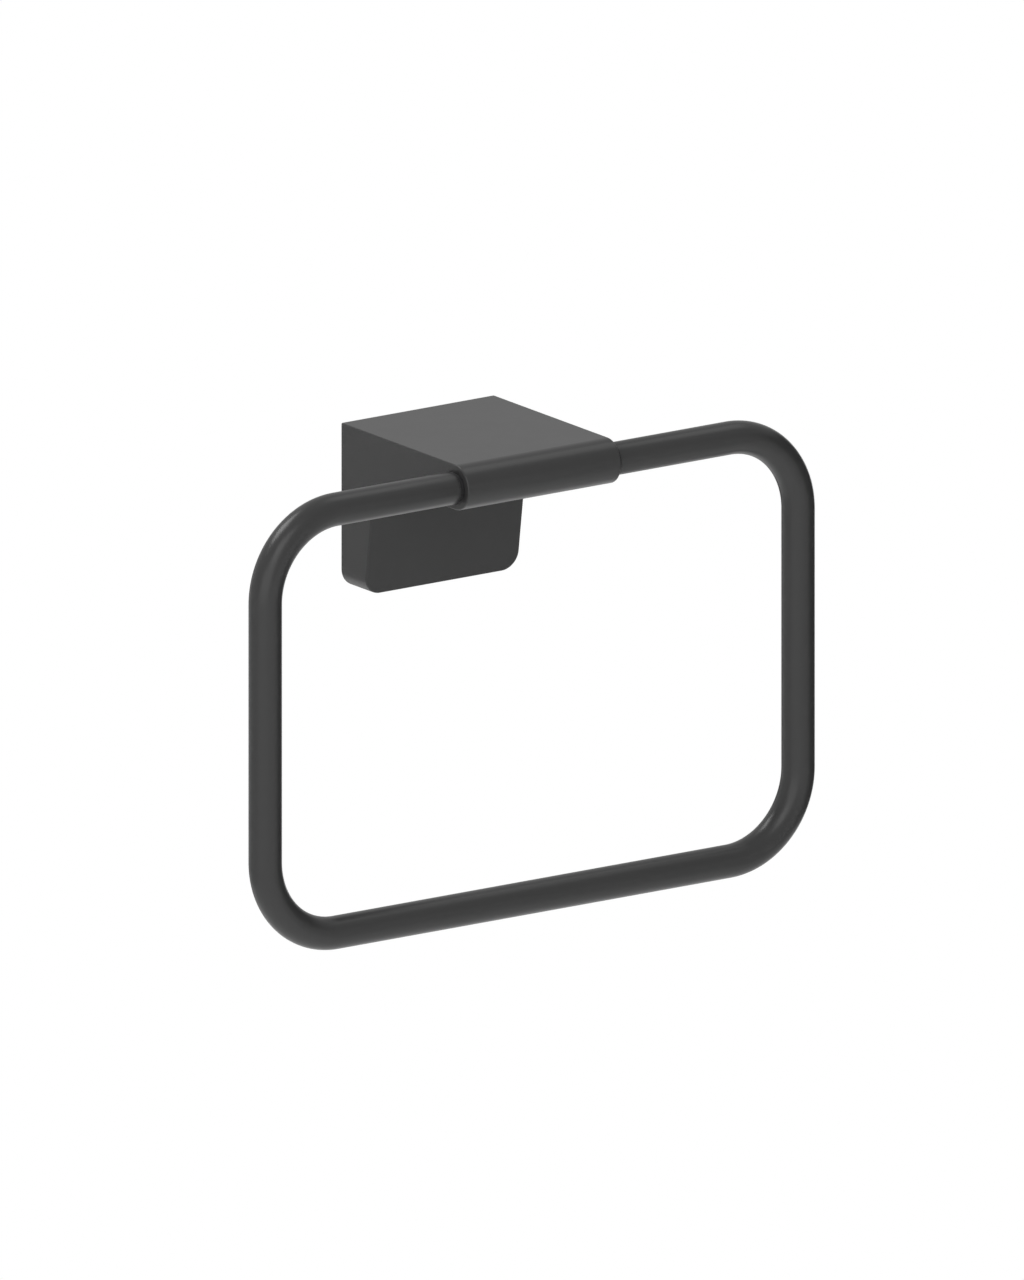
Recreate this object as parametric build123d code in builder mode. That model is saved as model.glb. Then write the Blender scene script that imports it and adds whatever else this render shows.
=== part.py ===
"""Towel ring: a cast wall bracket that carries a swinging ring of bent tube.

Units are millimetres. +Z is up, +X is to the right as seen from the room, and the wall is the plane Y = 0,
so the object stands out towards -Y. The origin is the middle of the wall plate's back face.
"""

from build123d import *

import os
from math import cos, radians, tan

# Ring: round tube bent to a rectangle, measured between centrelines
tube_diameter = 12.0
tube_wall = 1.0
ring_width = 232.5
ring_drop = 156.6
ring_bend_radius = 30.6
ring_end_gap = 1.5

# Spigot: the spindle that runs through the barrel and into both ends of the tube
spigot_reach = 6.0
spigot_clearance = 0.05
spigot_chamfer = 1.0
groove_depth = 1.0

# Bushes in the mouths of the barrel
bush_wall = 1.3
bush_length = 11.0
bush_recess = 0.3
bush_lead_in = 0.3
running_clearance = 0.05
seat_clearance = 0.03

# Bracket
bracket_width = 66.8
bracket_height = 60.8
foot_depth = 14.4
front_lean = 8.0
ring_standoff = 70.8
barrel_wall = 2.0
bore_clearance = 0.5
arm_root_radius = 12.0
lower_corner_radius = 6.8
casting_wall = 3.0
web_thickness = 5.0
edge_round = 0.5

# Wall plate, and the hooks of the bracket that hold on to its bevelled edge
plate_thickness = 7.0
plate_corner_radius = 3.0
plate_side_clearance = 0.4
hook_room = 3.4
hook_width = 14.0
bevel_height = 2.5
hook_clearance = 0.1
screw_spacing = 28.0
screw_hole_diameter = 5.5
screw_head_diameter = 10.0
screw_head_angle = 90.0

# Set screw that draws the bracket on to the wall plate
plate_screw_diameter = 5.0
plate_screw_tip_diameter = 2.4
plate_screw_setback = 4.8
plate_screw_recess = 0.4
plate_screw_socket = 2.5

# Dog point set screw that stands in the spigot's groove and keeps the ring centred
ring_screw_diameter = 4.0
ring_screw_dog_diameter = 3.0
ring_screw_socket = 2.0
dog_clearance = 0.3

# Both set screws
thread_clearance = 0.05
tip_clearance = 0.05
socket_depth = 2.2

# Radii of what turns inside what, from the tube to the barrel
tube_radius = tube_diameter / 2
spigot_radius = tube_radius - tube_wall - spigot_clearance
groove_radius = spigot_radius - groove_depth
bore_radius = spigot_radius + bore_clearance
bush_bore_radius = spigot_radius + running_clearance
bush_radius = bush_bore_radius + bush_wall
mouth_radius = bush_radius + seat_clearance
barrel_radius = mouth_radius + barrel_wall

# Heights and depths of the bracket
top_z = bracket_height / 2
bottom_z = -bracket_height / 2
axis_z = top_z - barrel_radius
underside_z = axis_z - barrel_radius
inner_top_z = top_z - casting_wall
inner_bottom_z = bottom_z + casting_wall
arm_floor_z = underside_z + casting_wall
lean_slope = tan(radians(front_lean))
lean_wall = casting_wall / cos(radians(front_lean))
core_half_width = bracket_width / 2 - casting_wall
core_corner_radius = lower_corner_radius - casting_wall
core_reach = ring_standoff - bore_radius - web_thickness

# Wall plate
plate_width = 2 * (core_half_width - plate_side_clearance)
plate_height = bracket_height - 2 * (casting_wall + hook_room)
plate_top_z = plate_height / 2

# Ends of the tube, and the groove of the spigot between them
tube_end_x = bracket_width / 2 + ring_end_gap
groove_width = ring_screw_dog_diameter + 2 * dog_clearance

# Plane of the side outlines, and the barrel's axis on it
side_plane = Plane.YZ
axis_point = (-ring_standoff, axis_z)


def front_depth(height):
    """Distance from the wall to the bracket's leaning front face at a height."""
    return foot_depth + lean_slope * (height - bottom_z)


def hollow_depth(height):
    """Distance from the wall to the inside of the leaning front wall at a height."""
    return front_depth(height) - lean_wall


def plate_edge_height(depth):
    """Half the wall plate's height at a distance from the wall, along its bevelled edge."""
    return plate_top_z - bevel_height * (1 - depth / plate_thickness)


# Ring: a tube swept round a rectangle whose upper side is open where the barrel stands
with BuildPart() as ring:
    with BuildLine(Plane.XZ.offset(ring_standoff)) as ring_path:
        FilletPolyline(
            (tube_end_x, axis_z),
            (ring_width / 2, axis_z),
            (ring_width / 2, axis_z - ring_drop),
            (-ring_width / 2, axis_z - ring_drop),
            (-ring_width / 2, axis_z),
            (-tube_end_x, axis_z),
            radius=ring_bend_radius,
        )
    with BuildSketch(Plane(origin=ring_path.line @ 0, z_dir=ring_path.line % 0)):
        Circle(tube_radius)
        Circle(tube_radius - tube_wall, mode=Mode.SUBTRACT)
    sweep(path=ring_path.line)

# Spigot: a turned rod with bevelled ends and a groove round its middle
with BuildPart() as ring_spigot:
    with BuildSketch(side_plane):
        with Locations(axis_point):
            Circle(spigot_radius)
    extrude(amount=tube_end_x + spigot_reach, both=True)
    chamfer(ring_spigot.edges().filter_by(GeomType.CIRCLE), spigot_chamfer)
    with BuildSketch(side_plane):
        with Locations(axis_point):
            Circle(spigot_radius)
            Circle(groove_radius, mode=Mode.SUBTRACT)
    extrude(amount=groove_width / 2, both=True, mode=Mode.SUBTRACT)

# Bushes: a plain sleeve set back in each mouth of the barrel
with BuildPart() as bush_right:
    with BuildSketch(side_plane.offset(bracket_width / 2 - bush_recess - bush_length)):
        with Locations(axis_point):
            Circle(bush_radius)
            Circle(bush_bore_radius, mode=Mode.SUBTRACT)
    extrude(amount=bush_length)
    inner_end = bush_right.edges().filter_by(GeomType.CIRCLE).group_by(Axis.X)[0]
    chamfer(inner_end.sort_by(SortBy.RADIUS)[-1], bush_lead_in)

with BuildPart() as bush_left:
    mirror(bush_right.part, about=side_plane)

# Hollow at the back of the bracket: room for the wall plate, and the core of the arm
with BuildPart() as back_hollow:
    with BuildSketch(side_plane) as hollow_side:
        hollow_root_point = (-hollow_depth(arm_floor_z), arm_floor_z)
        with BuildLine():
            Polyline(
                (0, inner_top_z),
                (-core_reach, inner_top_z),
                (-core_reach, arm_floor_z),
                hollow_root_point,
                (-hollow_depth(inner_bottom_z), inner_bottom_z),
                (0, inner_bottom_z),
                close=True,
            )
        make_face()
        hollow_root = hollow_side.vertices().sort_by_distance(hollow_root_point)[0]
        fillet(hollow_root, arm_root_radius + casting_wall)
    extrude(amount=core_half_width, both=True)
    fillet(back_hollow.edges().filter_by(Axis.Y).group_by(Axis.Z)[0], core_corner_radius)

# Bracket: one casting with a leaning wall block, a flat arm and a barrel along the arm's end
with BuildPart() as bracket:
    with BuildSketch(side_plane) as bracket_side:
        arm_root_point = (-front_depth(underside_z), underside_z)
        with BuildLine():
            Line((0, top_z), (-ring_standoff, top_z))
            CenterArc(axis_point, barrel_radius, 90, 180)
            Polyline(
                (-ring_standoff, underside_z),
                arm_root_point,
                (-front_depth(bottom_z), bottom_z),
                (0, bottom_z),
                (0, top_z),
            )
        make_face()
        arm_root = bracket_side.vertices().sort_by_distance(arm_root_point)[0]
        fillet(arm_root, arm_root_radius)
    extrude(amount=bracket_width / 2, both=True)
    fillet(bracket.edges().filter_by(Axis.Y).group_by(Axis.Z)[0], lower_corner_radius)

    # The small round runs from one top edge along the side, round the foot and up to the other
    fillet(bracket.edges().filter_by(Axis.Y).group_by(Axis.Z)[-1], edge_round)
    add(back_hollow.part, mode=Mode.SUBTRACT)

    # Two hooks under the ceiling of the hollow that reach behind the wall plate
    for hook_start in (-core_half_width, core_half_width - hook_width):
        with BuildSketch(side_plane.offset(hook_start)):
            with BuildLine():
                Polyline(
                    (0, inner_top_z),
                    (0, plate_edge_height(0) + hook_clearance),
                    (-plate_thickness, plate_edge_height(plate_thickness) + hook_clearance),
                    (-plate_thickness, inner_top_z),
                    close=True,
                )
            make_face()
        extrude(amount=hook_width)

    # Bore of the barrel, wider at both mouths to seat the bushes
    with BuildSketch(side_plane):
        with Locations(axis_point):
            Circle(bore_radius)
    extrude(amount=bracket_width / 2, both=True, mode=Mode.SUBTRACT)
    for mouth_end in (-bracket_width / 2, bracket_width / 2 - bush_recess - bush_length):
        with BuildSketch(side_plane.offset(mouth_end)):
            with Locations(axis_point):
                Circle(mouth_radius)
        extrude(amount=bush_recess + bush_length, mode=Mode.SUBTRACT)

    # Threaded holes for the two set screws
    with BuildSketch(Plane.XY.offset(bottom_z)):
        with Locations((0, -plate_screw_setback)):
            Circle(plate_screw_diameter / 2 + thread_clearance)
    extrude(amount=casting_wall, mode=Mode.SUBTRACT)
    with BuildSketch(Plane.XZ.offset(core_reach)):
        with Locations((0, axis_z)):
            Circle(ring_screw_diameter / 2 + thread_clearance)
    extrude(amount=web_thickness + bore_radius, mode=Mode.SUBTRACT)

# Wall plate: bevelled along its upper and lower edges so that the hooks and the set screw pull on it
with BuildPart() as wall_plate:
    with BuildSketch(side_plane):
        with BuildLine():
            Polyline(
                (0, plate_edge_height(0)),
                (-plate_thickness, plate_edge_height(plate_thickness)),
                (-plate_thickness, -plate_edge_height(plate_thickness)),
                (0, -plate_edge_height(0)),
                close=True,
            )
        make_face()
    extrude(amount=plate_width / 2, both=True)
    with BuildSketch(Plane.XZ):
        RectangleRounded(plate_width, plate_height, plate_corner_radius)
    extrude(amount=plate_thickness, mode=Mode.INTERSECT)
    with Locations(Plane.XZ.offset(plate_thickness)):
        with GridLocations(0, screw_spacing, 1, 2):
            CounterSinkHole(
                screw_hole_diameter / 2,
                screw_head_diameter / 2,
                counter_sink_angle=screw_head_angle,
            )

# Set screw under the wall plate: a cone point that bears on the plate's lower bevel
plate_screw_start_z = bottom_z + plate_screw_recess
plate_screw_tip_z = -plate_edge_height(plate_screw_setback + plate_screw_tip_diameter / 2) - tip_clearance
with BuildPart() as plate_grub_screw:
    with BuildSketch(Plane.XY.offset(plate_screw_start_z)):
        with Locations((0, -plate_screw_setback)):
            Circle(plate_screw_diameter / 2)
    extrude(amount=plate_screw_tip_z - plate_screw_start_z)
    cone_edge = plate_grub_screw.edges().filter_by(GeomType.CIRCLE).sort_by(Axis.Z)[-1]
    chamfer(cone_edge, (plate_screw_diameter - plate_screw_tip_diameter) / 2)
    with BuildSketch(Plane.XY.offset(plate_screw_start_z)):
        with Locations((0, -plate_screw_setback)):
            RegularPolygon(plate_screw_socket / 2, 6, major_radius=False)
    extrude(amount=socket_depth, mode=Mode.SUBTRACT)

# Set screw behind the barrel: its dog point stands in the groove of the spigot
dog_length = bore_radius - groove_radius - dog_clearance
with BuildPart() as ring_grub_screw:
    with BuildSketch(Plane.XZ.offset(core_reach)):
        with Locations((0, axis_z)):
            Circle(ring_screw_diameter / 2)
    extrude(amount=web_thickness)
    with BuildSketch(Plane.XZ.offset(core_reach + web_thickness)):
        with Locations((0, axis_z)):
            Circle(ring_screw_dog_diameter / 2)
    extrude(amount=dog_length)
    with BuildSketch(Plane.XZ.offset(core_reach)):
        with Locations((0, axis_z)):
            RegularPolygon(ring_screw_socket / 2, 6, major_radius=False)
    extrude(amount=socket_depth, mode=Mode.SUBTRACT)

# One file for each piece
pieces = {
    "bracket": bracket,
    "wall_plate": wall_plate,
    "plate_grub_screw": plate_grub_screw,
    "ring_grub_screw": ring_grub_screw,
    "bush_left": bush_left,
    "bush_right": bush_right,
    "ring": ring,
    "ring_spigot": ring_spigot,
}
os.makedirs("parts", exist_ok=True)
for piece_name, piece in pieces.items():
    piece.part.label = piece_name
    export_step(piece.part, f"parts/{piece_name}.step")
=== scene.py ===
"""Dresses the towel ring: its finishes, the bent tube, the threaded set screws and a plain studio.

Lengths are metres. +Z is up, the wall is the plane Y = 0 and the object stands out towards -Y.
"""

import logging
import math
from dataclasses import dataclass, field
from enum import Enum

import bmesh
import bpy
from mathutils import Matrix, Vector


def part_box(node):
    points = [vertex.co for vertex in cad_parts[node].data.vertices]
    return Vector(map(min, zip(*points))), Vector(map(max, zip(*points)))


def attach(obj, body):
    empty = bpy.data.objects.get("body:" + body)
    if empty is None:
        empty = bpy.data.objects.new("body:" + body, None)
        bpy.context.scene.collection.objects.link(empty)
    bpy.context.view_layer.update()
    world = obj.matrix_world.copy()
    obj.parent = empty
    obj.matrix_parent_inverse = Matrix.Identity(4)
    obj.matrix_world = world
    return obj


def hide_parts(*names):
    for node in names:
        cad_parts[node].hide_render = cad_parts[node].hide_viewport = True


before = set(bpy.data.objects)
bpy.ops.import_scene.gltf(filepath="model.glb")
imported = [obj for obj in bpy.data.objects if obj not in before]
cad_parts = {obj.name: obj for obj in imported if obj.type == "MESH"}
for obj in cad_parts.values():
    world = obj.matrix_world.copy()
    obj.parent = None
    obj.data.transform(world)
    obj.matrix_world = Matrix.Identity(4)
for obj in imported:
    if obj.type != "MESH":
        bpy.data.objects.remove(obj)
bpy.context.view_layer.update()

log = logging.getLogger("towel_ring")

MM = 0.001
UP = Vector((0, 0, 1))

Sockets = dict[str, bpy.types.NodeSocket]


class Body(Enum):
    """Bodies that the pieces ride on."""

    BRACKET = "bracket"
    RING = "ring"


class Slot(Enum):
    """Material slots that the pieces take their finish from."""

    COAT = "black_coat"
    ZINC = "plate_zinc"
    SCREW = "screw_steel"
    SPIGOT = "spigot_steel"
    BUSH = "bush_plastic"


class Tip(Enum):
    """Points that a set screw can have."""

    CONE = "cone"
    DOG = "dog"


def add_object(name: str, data: bpy.types.ID) -> bpy.types.Object:
    """Puts a mesh, a lamp or a camera into the scene.

    Args:
        name: the object's name.
        data: what the object holds.

    Returns:
        The new object, at the origin.
    """
    item = bpy.data.objects.new(name, data)
    bpy.context.scene.collection.objects.link(item)
    return item


class NodeTree:
    """Adds nodes and links to one node tree."""

    def __init__(self, tree: bpy.types.NodeTree) -> None:
        """Takes the tree that the nodes go into."""
        self.tree = tree

    def node(
        self, kind: str, settings: dict[str, object] | None = None, **inputs: object
    ) -> bpy.types.Node:
        """Adds one node.

        Args:
            kind: the node's type name.
            settings: properties of the node itself, by name.
            inputs: what goes into its sockets, by name with _ for a space: a value, or a socket to link.

        Returns:
            The new node.
        """
        node = self.tree.nodes.new(kind)
        for name, value in (settings or {}).items():
            setattr(node, name, value)
        for name, value in inputs.items():
            self.feed(node.inputs[name.replace("_", " ")], value)
        return node

    def feed(self, socket: bpy.types.NodeSocket, value: object) -> None:
        """Gives a socket a value, or links another socket to it.

        Args:
            socket: the input socket.
            value: a plain value, or an output socket.
        """
        if isinstance(value, bpy.types.NodeSocket):
            self.tree.links.new(value, socket)
        else:
            socket.default_value = value

    def math(self, operation: str, *values: object) -> bpy.types.NodeSocket:
        """Adds a Math node.

        Args:
            operation: the operation's name.
            values: its operands, as numbers or sockets.

        Returns:
            The result's socket.
        """
        node = self.node("ShaderNodeMath", {"operation": operation})
        for socket, value in zip(node.inputs, values):
            self.feed(socket, value)
        return node.outputs[0]

    def spread(self, value: object, low: float, high: float) -> bpy.types.NodeSocket:
        """Maps a mask from 0..1 to low..high and returns the result's socket."""
        node = self.node("ShaderNodeMapRange", Value=value, To_Min=low, To_Max=high)
        return node.outputs["Result"]

    def combine(self, x: object, y: object, z: object) -> bpy.types.NodeSocket:
        """Adds a Combine XYZ node and returns its vector."""
        return self.node("ShaderNodeCombineXYZ", X=x, Y=y, Z=z).outputs["Vector"]


class ShapeTree(NodeTree):
    """A Geometry Nodes tree with named inputs for its sizes."""

    def __init__(self, name: str) -> None:
        """Starts an empty tree with one geometry output.

        Args:
            name: the tree's name.
        """
        super().__init__(bpy.data.node_groups.new(name, "GeometryNodeTree"))
        self.tree.interface.new_socket("Geometry", in_out="OUTPUT", socket_type="NodeSocketGeometry")
        self.sizes = self.tree.nodes.new("NodeGroupInput")
        self.result = self.tree.nodes.new("NodeGroupOutput")
        self.identifiers: dict[str, str] = {}

    def length(self, name: str) -> bpy.types.NodeSocket:
        """Adds a named length and returns the socket that carries it."""
        return self._input(name, "NodeSocketFloat")

    def count(self, name: str) -> bpy.types.NodeSocket:
        """Adds a named whole number and returns the socket that carries it."""
        return self._input(name, "NodeSocketInt")

    def _input(self, name: str, kind: str) -> bpy.types.NodeSocket:
        """Adds a group input of one kind.

        Args:
            name: the input's name.
            kind: its socket type.

        Returns:
            The socket inside the tree.
        """
        socket = self.tree.interface.new_socket(name, in_out="INPUT", socket_type=kind)
        self.identifiers[name] = socket.identifier
        return self.sizes.outputs[name]

    def close(self, geometry: bpy.types.NodeSocket, material: bpy.types.Material) -> None:
        """Ends the tree in smooth shading, Realize Instances and Set Material.

        Args:
            geometry: the finished shape.
            material: the finish that it gets.
        """
        smooth = self.node("GeometryNodeSetShadeSmooth", Geometry=geometry)
        realized = self.node("GeometryNodeRealizeInstances", Geometry=smooth.outputs["Geometry"])
        dressed = self.node(
            "GeometryNodeSetMaterial", Geometry=realized.outputs["Geometry"], Material=material
        )
        self.feed(self.result.inputs["Geometry"], dressed.outputs["Geometry"])

    def grow(self, name: str, **values: float) -> bpy.types.Object:
        """Runs the tree on a new object.

        Args:
            name: the object's name.
            values: the tree's sizes, by name with _ for a space.

        Returns:
            The object, with the tree as its modifier.
        """
        piece = add_object(name, bpy.data.meshes.new(name))
        modifier = piece.modifiers.new(self.tree.name, "NODES")
        modifier.node_group = self.tree
        for key, value in values.items():
            modifier[self.identifiers[key.replace("_", " ")]] = value
        return piece


def settle(piece: bpy.types.Object) -> None:
    """Turns what an object's modifiers make into its plain mesh, and removes them and empty slots.

    Args:
        piece: the object.
    """
    depsgraph = bpy.context.evaluated_depsgraph_get()
    bare = piece.data
    piece.data = bpy.data.meshes.new_from_object(piece.evaluated_get(depsgraph), depsgraph=depsgraph)
    piece.data.name = piece.name
    piece.modifiers.clear()
    bpy.data.meshes.remove(bare)
    materials = piece.data.materials
    while None in list(materials):
        materials.pop(index=list(materials).index(None))


class Effect:
    """Shader node groups that several finishes share, each built once."""

    GRAIN_DETAIL = 2.0
    MOTTLE_DETAIL = 4.0
    LINE_DETAIL = 3.0

    @staticmethod
    def _group(
        name: str, inputs: dict[str, str], outputs: tuple[str, ...]
    ) -> tuple[NodeTree, Sockets, Sockets]:
        """Starts a group with named sockets.

        Args:
            name: the group's name.
            inputs: its inputs, name to socket type.
            outputs: its value outputs.

        Returns:
            The tree, the sockets that carry its inputs, and the sockets that take its outputs.
        """
        tree = bpy.data.node_groups.new(name, "ShaderNodeTree")
        for label, kind in inputs.items():
            tree.interface.new_socket(label, in_out="INPUT", socket_type=kind)
        for label in outputs:
            tree.interface.new_socket(label, in_out="OUTPUT", socket_type="NodeSocketFloat")
        sources = tree.nodes.new("NodeGroupInput").outputs
        results = tree.nodes.new("NodeGroupOutput").inputs
        return NodeTree(tree), dict(zip(inputs, sources)), dict(zip(outputs, results))

    @classmethod
    def grain(cls) -> bpy.types.NodeTree:
        """Fine grain of a sprayed or moulded skin, and the broad mottle of its gloss.

        Returns:
            The group. Grain Size and Mottle Size are lengths; Height and Mottle run from 0 to 1.
        """
        name = "Skin grain"
        if name in bpy.data.node_groups:
            return bpy.data.node_groups[name]
        inputs = {
            "Place": "NodeSocketVector",
            "Grain Size": "NodeSocketFloat",
            "Mottle Size": "NodeSocketFloat",
        }
        nodes, sources, results = cls._group(name, inputs, ("Height", "Mottle"))
        layers = (
            ("Grain Size", "Height", cls.GRAIN_DETAIL),
            ("Mottle Size", "Mottle", cls.MOTTLE_DETAIL),
        )
        for size, result, detail in layers:
            scale = nodes.math("DIVIDE", 1.0, sources[size])
            noise = nodes.node("ShaderNodeTexNoise", Vector=sources["Place"], Scale=scale, Detail=detail)
            nodes.feed(results[result], noise.outputs["Fac"])
        return nodes.tree

    @classmethod
    def lines(cls) -> bpy.types.NodeTree:
        """Fine lines that a die or a cutting tool leaves on metal.

        Returns:
            The group. Stretch divides the pattern's frequency along each axis; Height runs from 0 to 1.
        """
        name = "Tool lines"
        if name in bpy.data.node_groups:
            return bpy.data.node_groups[name]
        inputs = {
            "Place": "NodeSocketVector",
            "Stretch": "NodeSocketVector",
            "Line Size": "NodeSocketFloat",
        }
        nodes, sources, results = cls._group(name, inputs, ("Height",))
        drawn = nodes.node("ShaderNodeVectorMath", {"operation": "DIVIDE"})
        nodes.feed(drawn.inputs[0], sources["Place"])
        nodes.feed(drawn.inputs[1], sources["Stretch"])
        scale = nodes.math("DIVIDE", 1.0, sources["Line Size"])
        noise = nodes.node(
            "ShaderNodeTexNoise", Vector=drawn.outputs["Vector"], Scale=scale, Detail=cls.LINE_DETAIL
        )
        nodes.feed(results["Height"], noise.outputs["Fac"])
        return nodes.tree


@dataclass(frozen=True)
class Finish:
    """What every finish has: a slot, a colour range, a gloss range and a skin."""

    slot: Slot
    dark: tuple[float, float, float]
    pale: tuple[float, float, float]
    smooth: float
    rough: float
    grain_size: float
    mottle_size: float
    grain_depth: float
    metallic: float = 0.0
    ior: float = 1.5

    def material(self) -> bpy.types.Material:
        """Builds the material once and returns it.

        Returns:
            The material, named for its slot.
        """
        name = f"{self.slot.value}_finish"
        if name in bpy.data.materials:
            return bpy.data.materials[name]
        material = bpy.data.materials.new(name)
        material.use_nodes = True
        nodes = NodeTree(material.node_tree)
        shader = material.node_tree.nodes["Principled BSDF"]
        shader.inputs["Metallic"].default_value = self.metallic
        shader.inputs["IOR"].default_value = self.ior
        place = nodes.node("ShaderNodeTexCoord").outputs["Object"]
        skin = nodes.node("ShaderNodeGroup", {"node_tree": Effect.grain()})
        nodes.feed(skin.inputs["Place"], place)
        nodes.feed(skin.inputs["Grain Size"], self.grain_size)
        nodes.feed(skin.inputs["Mottle Size"], self.mottle_size)
        mottle = skin.outputs["Mottle"]
        colour = nodes.node("ShaderNodeMix", {"data_type": "RGBA"}, Factor=mottle)
        nodes.feed(colour.inputs["A"], (*self.dark, 1.0))
        nodes.feed(colour.inputs["B"], (*self.pale, 1.0))
        nodes.feed(shader.inputs["Base Color"], colour.outputs["Result"])
        nodes.feed(shader.inputs["Roughness"], nodes.spread(mottle, self.smooth, self.rough))
        relief = self.height(nodes, place, skin)
        bump = nodes.node("ShaderNodeBump", Height=relief, Distance=self.grain_depth)
        nodes.feed(shader.inputs["Normal"], bump.outputs["Normal"])
        return material

    def height(
        self, nodes: NodeTree, place: bpy.types.NodeSocket, skin: bpy.types.Node
    ) -> bpy.types.NodeSocket:
        """The relief of the surface, which is the skin's own grain."""
        return skin.outputs["Height"]


@dataclass(frozen=True)
class WorkedMetal(Finish):
    """Metal with fine lines from a die or a cutting tool over its grain."""

    stretch: tuple[float, float, float] = (1.0, 1.0, 1.0)
    line_size: float = 0.2 * MM

    def height(
        self, nodes: NodeTree, place: bpy.types.NodeSocket, skin: bpy.types.Node
    ) -> bpy.types.NodeSocket:
        """The relief of the surface: the lines, roughened by the grain.

        Args:
            nodes: the material's tree.
            place: Object coordinates.
            skin: the grain group's node.

        Returns:
            The height's socket.
        """
        lines = nodes.node("ShaderNodeGroup", {"node_tree": Effect.lines()})
        nodes.feed(lines.inputs["Place"], place)
        nodes.feed(lines.inputs["Stretch"], self.stretch)
        nodes.feed(lines.inputs["Line Size"], self.line_size)
        return nodes.math("MULTIPLY", lines.outputs["Height"], skin.outputs["Height"])


SATIN_BLACK = Finish(
    slot=Slot.COAT,
    dark=(0.032, 0.032, 0.032),
    pale=(0.034, 0.034, 0.034),
    smooth=0.27,
    rough=0.31,
    grain_size=0.5 * MM,
    mottle_size=9 * MM,
    grain_depth=0.004 * MM,
    ior=1.4,
)
DULL_ZINC = Finish(
    slot=Slot.ZINC,
    dark=(0.46, 0.47, 0.48),
    pale=(0.62, 0.63, 0.64),
    smooth=0.34,
    rough=0.52,
    grain_size=0.4 * MM,
    mottle_size=4 * MM,
    grain_depth=0.02 * MM,
    metallic=1.0,
)
BLACKENED_STEEL = WorkedMetal(
    slot=Slot.SCREW,
    dark=(0.035, 0.035, 0.037),
    pale=(0.07, 0.07, 0.072),
    smooth=0.3,
    rough=0.42,
    grain_size=0.15 * MM,
    mottle_size=1.5 * MM,
    grain_depth=0.01 * MM,
    metallic=1.0,
    stretch=(1.0, 1.0, 0.3),
    line_size=0.1 * MM,
)
BLACKENED_SPINDLE = WorkedMetal(
    slot=Slot.SPIGOT,
    dark=(0.03, 0.03, 0.031),
    pale=(0.04, 0.04, 0.041),
    smooth=0.26,
    rough=0.36,
    grain_size=0.2 * MM,
    mottle_size=6 * MM,
    grain_depth=0.01 * MM,
    stretch=(0.3, 1.0, 1.0),
    line_size=0.2 * MM,
)
BLACK_NYLON = Finish(
    slot=Slot.BUSH,
    dark=(0.016, 0.016, 0.017),
    pale=(0.022, 0.022, 0.023),
    smooth=0.42,
    rough=0.55,
    grain_size=0.25 * MM,
    mottle_size=3 * MM,
    grain_depth=0.01 * MM,
)


def dress(node: str, finish: Finish) -> None:
    """Gives a node of the frame its finish.

    Args:
        node: the node's name.
        finish: the finish that replaces the plain one.
    """
    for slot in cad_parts[node].material_slots:
        slot.material = finish.material()
    log.info("%s keeps its solid and gets %s", node, finish.slot.value)


def place_piece(piece: bpy.types.Object, body: Body, node: str) -> None:
    """Lets a finished piece ride on its body in place of a node.

    Args:
        piece: the finished object.
        body: the body that it moves with.
        node: the node that it stands for.
    """
    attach(piece, body.value)
    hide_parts(node)
    log.info("%s replaces %s with %d faces", piece.name, node, len(piece.data.polygons))


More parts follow.
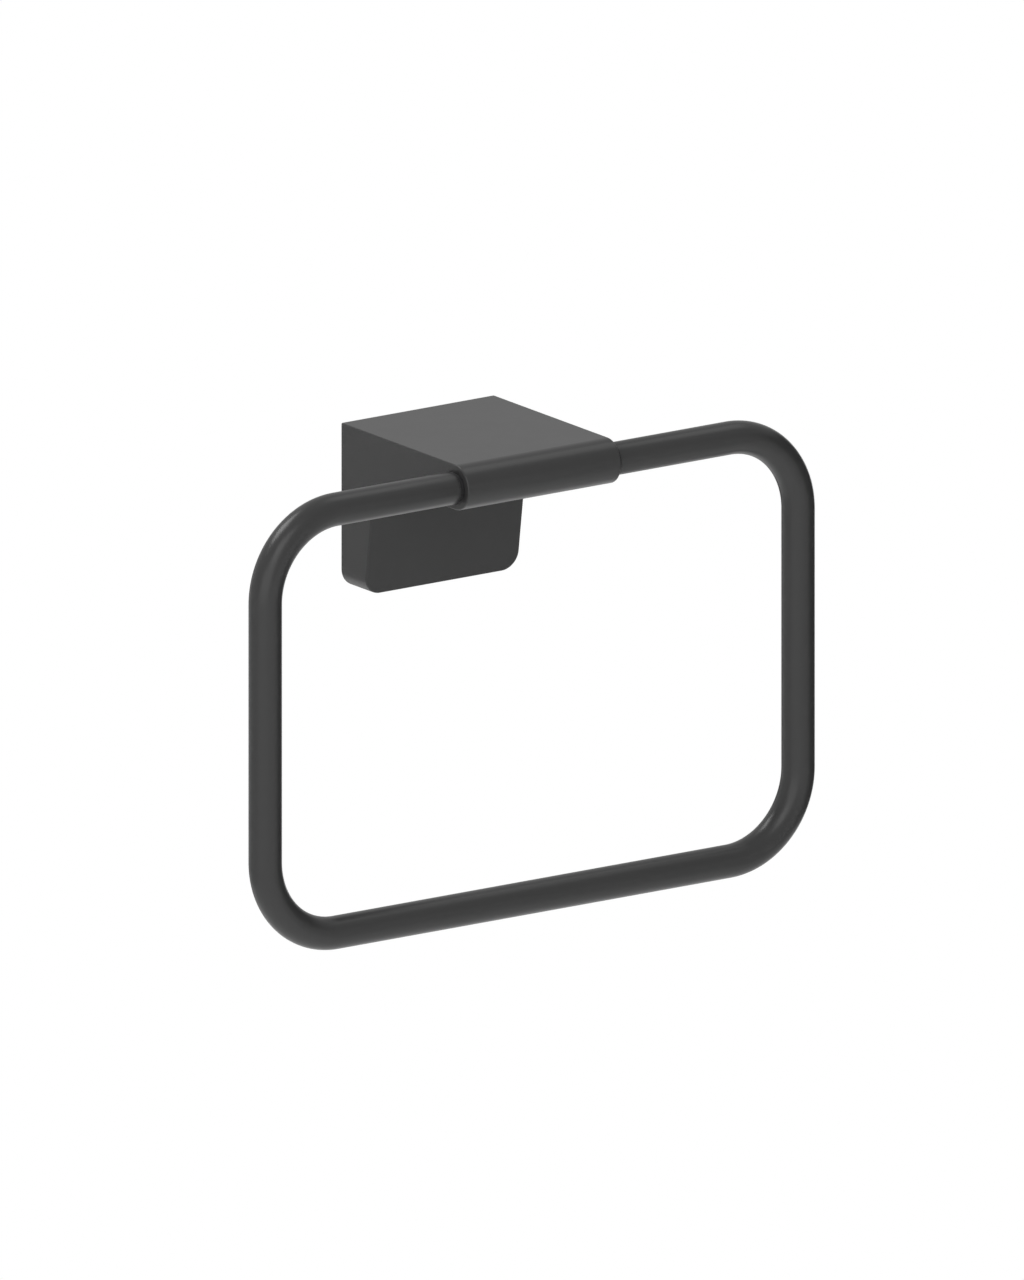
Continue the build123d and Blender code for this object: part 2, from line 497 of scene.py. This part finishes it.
@dataclass
class SwingRing:
    """The ring of bent tube, open where the barrel stands, and the spigot that joins its ends."""

    node: str = "ring"
    spigot_node: str = "ring_spigot"
    barrel_node: str = "bracket"
    bend_radius: float = 30.6 * MM
    tube_wall: float = 1.0 * MM
    end_gap: float = 1.5 * MM
    end_round: float = 0.2 * MM
    end_round_steps: int = 3
    sides: int = 72
    bend_steps: int = 40
    sharp_angle: float = math.radians(40)
    opening: float = field(init=False)
    tube_radius: float = field(init=False)
    width: float = field(init=False)
    drop: float = field(init=False)
    axis_point: Vector = field(init=False)

    def __post_init__(self) -> None:
        """Reads the ring's place and main sizes from the frame."""
        barrel_low, barrel_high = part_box(self.barrel_node)
        self.opening = barrel_high.x - barrel_low.x + 2 * self.end_gap
        low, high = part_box(self.node)
        self.tube_radius = (high.y - low.y) / 2
        self.width = high.x - low.x - 2 * self.tube_radius
        self.drop = high.z - low.z - 2 * self.tube_radius
        middle = (low + high) / 2
        self.axis_point = Vector((middle.x, middle.y, high.z - self.tube_radius))

    def bent_tube(self) -> ShapeTree:
        """Builds the tree that bends a tube round a rectangle.

        Returns:
            The tree. Its path hangs from the swing axis in the plane Y = 0.
        """
        tree = ShapeTree("Bent tube")
        width, drop, opening = tree.length("Width"), tree.length("Drop"), tree.length("Opening")
        bend, radius = tree.length("Bend Radius"), tree.length("Tube Radius")
        steps, sides = tree.count("Bend Steps"), tree.count("Sides")
        side_x, end_x = tree.math("MULTIPLY", width, 0.5), tree.math("MULTIPLY", opening, 0.5)
        far_x, far_end_x = tree.math("MULTIPLY", side_x, -1.0), tree.math("MULTIPLY", end_x, -1.0)
        lower_z = tree.math("MULTIPLY", drop, -1.0)
        corners = (
            (end_x, 0.0),
            (side_x, 0.0),
            (side_x, lower_z),
            (far_x, lower_z),
            (far_x, 0.0),
            (far_end_x, 0.0),
        )
        corner = tree.node("GeometryNodeIndexSwitch", {"data_type": "VECTOR"})
        while len(corner.index_switch_items) < len(corners):
            corner.index_switch_items.new()
        tree.feed(corner.inputs["Index"], tree.node("GeometryNodeInputIndex").outputs["Index"])
        for number, (x, z) in enumerate(corners):
            tree.feed(corner.inputs[number + 1], tree.combine(x, 0.0, z))
        line = tree.node("GeometryNodeCurvePrimitiveLine")
        points = tree.node("GeometryNodeResampleCurve", Curve=line.outputs["Curve"], Count=len(corners))
        route = tree.node(
            "GeometryNodeSetPosition", Geometry=points.outputs["Curve"], Position=corner.outputs["Output"]
        )
        bent = tree.node(
            "GeometryNodeFilletCurve",
            {"mode": "POLY"},
            Curve=route.outputs["Geometry"],
            Radius=bend,
            Count=steps,
        )
        circle = tree.node("GeometryNodeCurvePrimitiveCircle", Resolution=sides, Radius=radius)
        tube = tree.node(
            "GeometryNodeCurveToMesh",
            Curve=bent.outputs["Curve"],
            Profile_Curve=circle.outputs["Curve"],
        )
        tree.close(tube.outputs["Mesh"], SATIN_BLACK.material())
        return tree

    def build(self) -> bpy.types.Object:
        """Makes the tube with its wall.

        Returns:
            The finished piece.
        """
        piece = self.bent_tube().grow(
            "ring_tube",
            Width=self.width,
            Drop=self.drop,
            Opening=self.opening,
            Bend_Radius=self.bend_radius,
            Tube_Radius=self.tube_radius,
            Bend_Steps=self.bend_steps,
            Sides=self.sides,
        )
        wall = piece.modifiers.new("Wall", "SOLIDIFY")
        wall.thickness = self.tube_wall
        wall.offset = -1.0
        rounds = piece.modifiers.new("End rounds", "BEVEL")
        rounds.limit_method = "ANGLE"
        rounds.angle_limit = self.sharp_angle
        rounds.width = self.end_round
        rounds.segments = self.end_round_steps
        settle(piece)
        piece.data.transform(Matrix.Translation(self.axis_point))
        piece.data.set_sharp_from_angle(angle=self.sharp_angle)
        place_piece(piece, Body.RING, self.node)
        dress(self.spigot_node, BLACKENED_SPINDLE)
        return piece


@dataclass
class SetScrew:
    """A hexagon socket set screw with a cut thread, whose depth and flats are shares of its pitch."""

    node: str
    name: str
    axis: Vector
    pitch: float
    tip: Tip
    tip_radius: float
    socket_width: float
    dog_length: float = 0.0
    socket_depth: float = 2.2 * MM
    drill_depth: float = 0.5 * MM
    depth_share: float = 0.6134
    flat_share: float = 0.12
    sides: int = 48
    rows_per_turn: int = 10
    sharp_angle: float = math.radians(30)
    length: float = field(init=False)
    radius: float = field(init=False)
    middle: Vector = field(init=False)

    def __post_init__(self) -> None:
        """Reads the screw's place, length and radius from the frame."""
        low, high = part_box(self.node)
        size = high - low
        self.length = abs(size.dot(self.axis))
        self.radius = (size.x + size.y + size.z - self.length) / 4
        self.middle = (low + high) / 2

    def cut_thread(self) -> ShapeTree:
        """Builds the tree that cuts a thread on a blank and tapers its two ends.

        Returns:
            The tree. The screw's middle is the origin and its point looks along +Z.
        """
        tree = ShapeTree("Cut thread")
        radius, pitch, depth = tree.length("Radius"), tree.length("Pitch"), tree.length("Thread Depth")
        length, thread_end = tree.length("Length"), tree.length("Thread End")
        tip_radius = tree.length("Tip Radius")
        sides, rows = tree.count("Sides"), tree.count("Rows")
        blank = tree.node(
            "GeometryNodeMeshCylinder",
            {"fill_type": "NONE"},
            Vertices=sides,
            Side_Segments=rows,
            Radius=radius,
            Depth=length,
        )
        place = tree.node("GeometryNodeInputPosition").outputs["Position"]
        x, y, z = tree.node("ShaderNodeSeparateXYZ", Vector=place).outputs
        along = tree.math("ADD", z, tree.math("MULTIPLY", length, 0.5))
        turn = tree.math("DIVIDE", tree.math("ARCTAN2", y, x), math.tau)
        phase = tree.math("SUBTRACT", tree.math("DIVIDE", along, pitch), turn)
        wave = tree.math("PINGPONG", phase, 0.5)
        flank = tree.node(
            "ShaderNodeMapRange",
            Value=wave,
            From_Min=self.flat_share / 2,
            From_Max=(1 - self.flat_share) / 2,
        )
        groove = tree.math("MULTIPLY", depth, tree.math("SUBTRACT", 1.0, flank.outputs["Result"]))
        lead_in = tree.math("ADD", tree.math("SUBTRACT", radius, depth), along)
        taper = tree.math("ADD", tip_radius, tree.math("SUBTRACT", thread_end, along))
        reach = tree.math("MINIMUM", tree.math("SUBTRACT", radius, groove), lead_in)
        reach = tree.math("MAXIMUM", tree.math("MINIMUM", reach, taper), tip_radius)
        share = tree.math("DIVIDE", reach, radius)
        cut = tree.combine(tree.math("MULTIPLY", x, share), tree.math("MULTIPLY", y, share), z)
        threaded = tree.node("GeometryNodeSetPosition", Geometry=blank.outputs["Mesh"], Position=cut)
        tree.close(threaded.outputs["Geometry"], BLACKENED_STEEL.material())
        return tree

    def close_ends(self, mesh: bpy.types.Mesh) -> None:
        """Adds the face of the point, and the hexagon socket with its drilled bottom.

        Args:
            mesh: the thread, open at both ends.
        """
        shape = bmesh.new()
        shape.from_mesh(mesh)
        ends = [vert for vert in shape.verts if vert.is_boundary]
        ends.sort(key=lambda vert: math.atan2(vert.co.y, vert.co.x))
        shape.faces.new([vert for vert in ends if vert.co.z > 0])
        rim = [vert for vert in ends if vert.co.z < 0]
        floor_z = self.socket_depth - self.length / 2
        mouth = [shape.verts.new(self.hexagon_point(vert.co)) for vert in rim]
        foot = [shape.verts.new((vert.co.x, vert.co.y, floor_z)) for vert in mouth]
        centre = shape.verts.new((0.0, 0.0, floor_z + self.drill_depth))
        for here in range(len(rim)):
            there = here - 1
            shape.faces.new((rim[here], rim[there], mouth[there], mouth[here]))
            shape.faces.new((mouth[here], mouth[there], foot[there], foot[here]))
            shape.faces.new((foot[here], foot[there], centre))
        bmesh.ops.recalc_face_normals(shape, faces=shape.faces)
        for face in shape.faces:
            face.smooth = True
        shape.to_mesh(mesh)
        shape.free()

    def hexagon_point(self, point: Vector) -> Vector:
        """Point of the socket's mouth in the same direction from the axis as another point.

        Args:
            point: a point of the screw's end.

        Returns:
            The point on the hexagon.
        """
        angle = math.atan2(point.y, point.x)
        sixth = math.tau / 6
        off_middle = angle % sixth - sixth / 2
        reach = self.socket_width / 2 / math.cos(off_middle)
        return Vector((reach * math.cos(angle), reach * math.sin(angle), point.z))

    def build(self) -> bpy.types.Object:
        """Makes the screw in place of its node.

        Returns:
            The finished piece.
        """
        thread_end = self.length
        if self.tip is Tip.DOG:
            thread_end -= self.dog_length
        piece = self.cut_thread().grow(
            self.name,
            Radius=self.radius,
            Pitch=self.pitch,
            Thread_Depth=self.depth_share * self.pitch,
            Length=self.length,
            Thread_End=thread_end,
            Tip_Radius=self.tip_radius,
            Sides=self.sides,
            Rows=round(self.length / self.pitch * self.rows_per_turn),
        )
        settle(piece)
        self.close_ends(piece.data)
        turn = UP.rotation_difference(self.axis).to_matrix().to_4x4()
        piece.data.transform(Matrix.Translation(self.middle) @ turn)
        piece.data.set_sharp_from_angle(angle=self.sharp_angle)
        place_piece(piece, Body.BRACKET, self.node)
        return piece


@dataclass
class WallBracket:
    """The cast bracket with its wall plate, bushes and set screws."""

    node: str = "bracket"
    plate_node: str = "wall_plate"
    bush_nodes: tuple[str, str] = ("bush_left", "bush_right")

    def screws(self) -> tuple[SetScrew, SetScrew]:
        """The screw that draws the bracket on to its plate, and the one that keeps the ring centred.

        Returns:
            The two screws.
        """
        plate_screw = SetScrew(
            node="plate_grub_screw",
            name="plate_screw",
            axis=UP,
            pitch=0.8 * MM,
            tip=Tip.CONE,
            tip_radius=1.2 * MM,
            socket_width=2.5 * MM,
        )
        ring_screw = SetScrew(
            node="ring_grub_screw",
            name="ring_screw",
            axis=Vector((0, -1, 0)),
            pitch=0.7 * MM,
            tip=Tip.DOG,
            tip_radius=1.5 * MM,
            socket_width=2.0 * MM,
            dog_length=1.2 * MM,
        )
        return plate_screw, ring_screw

    def build(self) -> None:
        """Dresses the bracket and what it holds."""
        dress(self.node, SATIN_BLACK)
        dress(self.plate_node, DULL_ZINC)
        for bush in self.bush_nodes:
            dress(bush, BLACK_NYLON)
        for screw in self.screws():
            screw.build()


def direction(azimuth: float, elevation: float) -> Vector:
    """Unit vector away from the object, in degrees: azimuth 0 is its front and 90 is its right."""
    turn, rise = math.radians(azimuth), math.radians(elevation)
    return Vector((math.sin(turn) * math.cos(rise), -math.cos(turn) * math.cos(rise), math.sin(rise)))


def matt_material(name: str, colour: float) -> bpy.types.Material:
    """A plain matt grey for what stands round the object.

    Args:
        name: the material's name.
        colour: its grey.

    Returns:
        The material.
    """
    material = bpy.data.materials.new(name)
    material.use_nodes = True
    shader = material.node_tree.nodes["Principled BSDF"]
    shader.inputs["Base Color"].default_value = (colour, colour, colour, 1.0)
    shader.inputs["Roughness"].default_value = 1.0
    shader.inputs["Specular IOR Level"].default_value = 0.0
    return material


def flat_panel(name: str, corners: list[Vector], material: bpy.types.Material) -> bpy.types.Object:
    """Makes a flat panel of four corners.

    Args:
        name: the panel's name.
        corners: its corners, in order round its edge.
        material: its finish.

    Returns:
        The panel.
    """
    mesh = bpy.data.meshes.new(name)
    mesh.from_pydata(corners, [], [(0, 1, 2, 3)])
    mesh.materials.append(material)
    return add_object(name, mesh)


@dataclass(frozen=True)
class SoftBox:
    """A large soft lamp that faces the object."""

    name: str
    azimuth: float
    elevation: float
    width: float
    height: float
    radiance: float
    distance: float = 2.5

    def build(self, target: Vector) -> None:
        """Hangs the lamp, hidden from the camera.

        Args:
            target: the point that it faces.
        """
        lamp = bpy.data.lights.new(self.name, "AREA")
        lamp.shape = "RECTANGLE"
        lamp.size = self.width
        lamp.size_y = self.height
        lamp.energy = self.radiance * math.pi * self.width * self.height
        piece = add_object(self.name, lamp)
        away = direction(self.azimuth, self.elevation)
        piece.location = target + away * self.distance
        piece.rotation_mode = "QUATERNION"
        piece.rotation_quaternion = away.to_track_quat("Z", "Y")
        piece.visible_camera = False


@dataclass(frozen=True)
class Card:
    """A grey card that stands on the floor and keeps the light of the far floor off one side."""

    name: str
    azimuth: float
    distance: float
    width: float
    height: float
    colour: float

    def build(self, target: Vector, floor_z: float) -> None:
        """Stands the card upright, hidden from the camera.

        Args:
            target: the point that it faces.
            floor_z: height of the floor.
        """
        away = direction(self.azimuth, 0)
        side = away.cross(UP) * (self.width / 2)
        foot = Vector((target.x, target.y, floor_z)) + away * self.distance
        rise = UP * self.height
        corners = [foot - side, foot + side, foot + side + rise, foot - side + rise]
        card = flat_panel(self.name, corners, matt_material(self.name, self.colour))
        card.visible_camera = False


@dataclass
class Studio:
    """Floor, surrounding light and the camera of the photograph."""

    image_width: float = 1024.0
    image_height: float = 1280.0
    pixels_per_metre: float = 2798.2
    ring_centre_x: float = 531.67
    ring_centre_y: float = 685.22
    azimuth: float = -35.0
    elevation: float = 15.0
    camera_distance: float = 2.0
    floor_z: float = -0.6
    floor_size: float = 14.0
    floor_colour: float = 0.9
    floor_glow: float = 0.18
    shadow_reach: float = 0.9
    white_reach: float = 1.25
    world_level: float = 0.6
    lamps: tuple[SoftBox, ...] = (
        SoftBox("back_left_lamp", azimuth=-142, elevation=52, width=1.3, height=1.1, radiance=5.4),
        SoftBox("front_left_lamp", azimuth=-38, elevation=37, width=1.4, height=1.1, radiance=2.05),
        SoftBox("left_reflector", azimuth=-49, elevation=9, width=2.75, height=1.35, radiance=1.07),
        SoftBox("right_top_lamp", azimuth=94, elevation=59, width=1.2, height=1.1, radiance=0.94),
    )
    cards: tuple[Card, ...] = (
        Card("front_right_card", azimuth=34, distance=1.03, width=0.51, height=0.82, colour=0.82),
        Card("right_card", azimuth=82, distance=0.96, width=1.27, height=0.97, colour=0.05),
        Card("back_card", azimuth=158, distance=0.95, width=0.9, height=0.52, colour=0.16),
        Card("back_left_card", azimuth=-131, distance=0.9, width=1.47, height=0.56, colour=0.81),
    )
    target: Vector = field(init=False)

    def __post_init__(self) -> None:
        """Reads the middle of the ring, which the lamps and the camera look at."""
        low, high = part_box("ring")
        self.target = (low + high) / 2

    def build(self) -> None:
        """Sets up the floor, the light and the camera."""
        bpy.context.scene.view_settings.view_transform = "Standard"
        self.build_floor()
        self.build_world()
        for lamp in self.lamps:
            lamp.build(self.target)
        for card in self.cards:
            card.build(self.target, self.floor_z)
        self.build_camera()

    def build_floor(self) -> None:
        """Lays the pale floor, which keeps shadows near the object and is plain white far from it."""
        half = self.floor_size / 2
        outline = ((-half, -half), (half, -half), (half, half), (-half, half))
        corners = [Vector((x, y, self.floor_z)) for x, y in outline]
        floor = flat_panel("floor", corners, self.floor_material())

    def floor_material(self) -> bpy.types.Material:
        """A matt white that turns to plain white light with distance, as far as it is seen or mirrored.

        Returns:
            The material.
        """
        material = matt_material("floor_white", self.floor_colour)
        nodes = NodeTree(material.node_tree)
        matt = material.node_tree.nodes["Principled BSDF"]
        matt.inputs["Emission Strength"].default_value = self.floor_glow
        place = nodes.node("ShaderNodeTexCoord").outputs["Object"]
        reach = nodes.node("ShaderNodeVectorMath", {"operation": "LENGTH"})
        nodes.feed(reach.inputs[0], place)
        far = nodes.node(
            "ShaderNodeMapRange",
            {"interpolation_type": "SMOOTHSTEP"},
            Value=reach.outputs["Value"],
            From_Min=self.shadow_reach,
            From_Max=self.white_reach,
        )
        path = nodes.node("ShaderNodeLightPath")
        seen = nodes.math("MAXIMUM", path.outputs["Is Camera Ray"], path.outputs["Is Glossy Ray"])
        seen = nodes.math("MAXIMUM", seen, path.outputs["Is Transmission Ray"])
        white = nodes.node("ShaderNodeEmission", Strength=1.0)
        mixed = nodes.node("ShaderNodeMixShader", Fac=nodes.math("MULTIPLY", far.outputs["Result"], seen))
        nodes.feed(mixed.inputs[1], matt.outputs["BSDF"])
        nodes.feed(mixed.inputs[2], white.outputs["Emission"])
        surface = material.node_tree.nodes["Material Output"].inputs["Surface"]
        nodes.feed(surface, mixed.outputs["Shader"])
        return material

    def build_world(self) -> None:
        """Surrounds the object with even light."""
        world = bpy.data.worlds.new("studio")
        world.use_nodes = True
        background = world.node_tree.nodes["Background"]
        background.inputs["Color"].default_value = (1.0, 1.0, 1.0, 1.0)
        background.inputs["Strength"].default_value = self.world_level
        bpy.context.scene.world = world

    def build_camera(self) -> None:
        """Places the orthographic camera so that the ring falls where the photograph shows it."""
        data = bpy.data.cameras.new("photo_camera")
        data.type = "ORTHO"
        data.ortho_scale = self.image_height / self.pixels_per_metre
        camera = add_object("photo_camera", data)
        back = direction(self.azimuth, self.elevation)
        right = UP.cross(back).normalized()
        up = back.cross(right)
        offset_x = (self.image_width / 2 - self.ring_centre_x) / self.pixels_per_metre
        offset_y = (self.ring_centre_y - self.image_height / 2) / self.pixels_per_metre
        camera.location = self.target + right * offset_x + up * offset_y + back * self.camera_distance
        camera.rotation_mode = "QUATERNION"
        camera.rotation_quaternion = back.to_track_quat("Z", "Y")
        bpy.context.scene.camera = camera


def main() -> None:
    """Builds the sub-assemblies and the studio in order."""
    logging.basicConfig(level=logging.INFO, format="%(name)s: %(message)s")
    WallBracket().build()
    SwingRing().build()
    Studio().build()


if __name__ == "__main__":
    main()
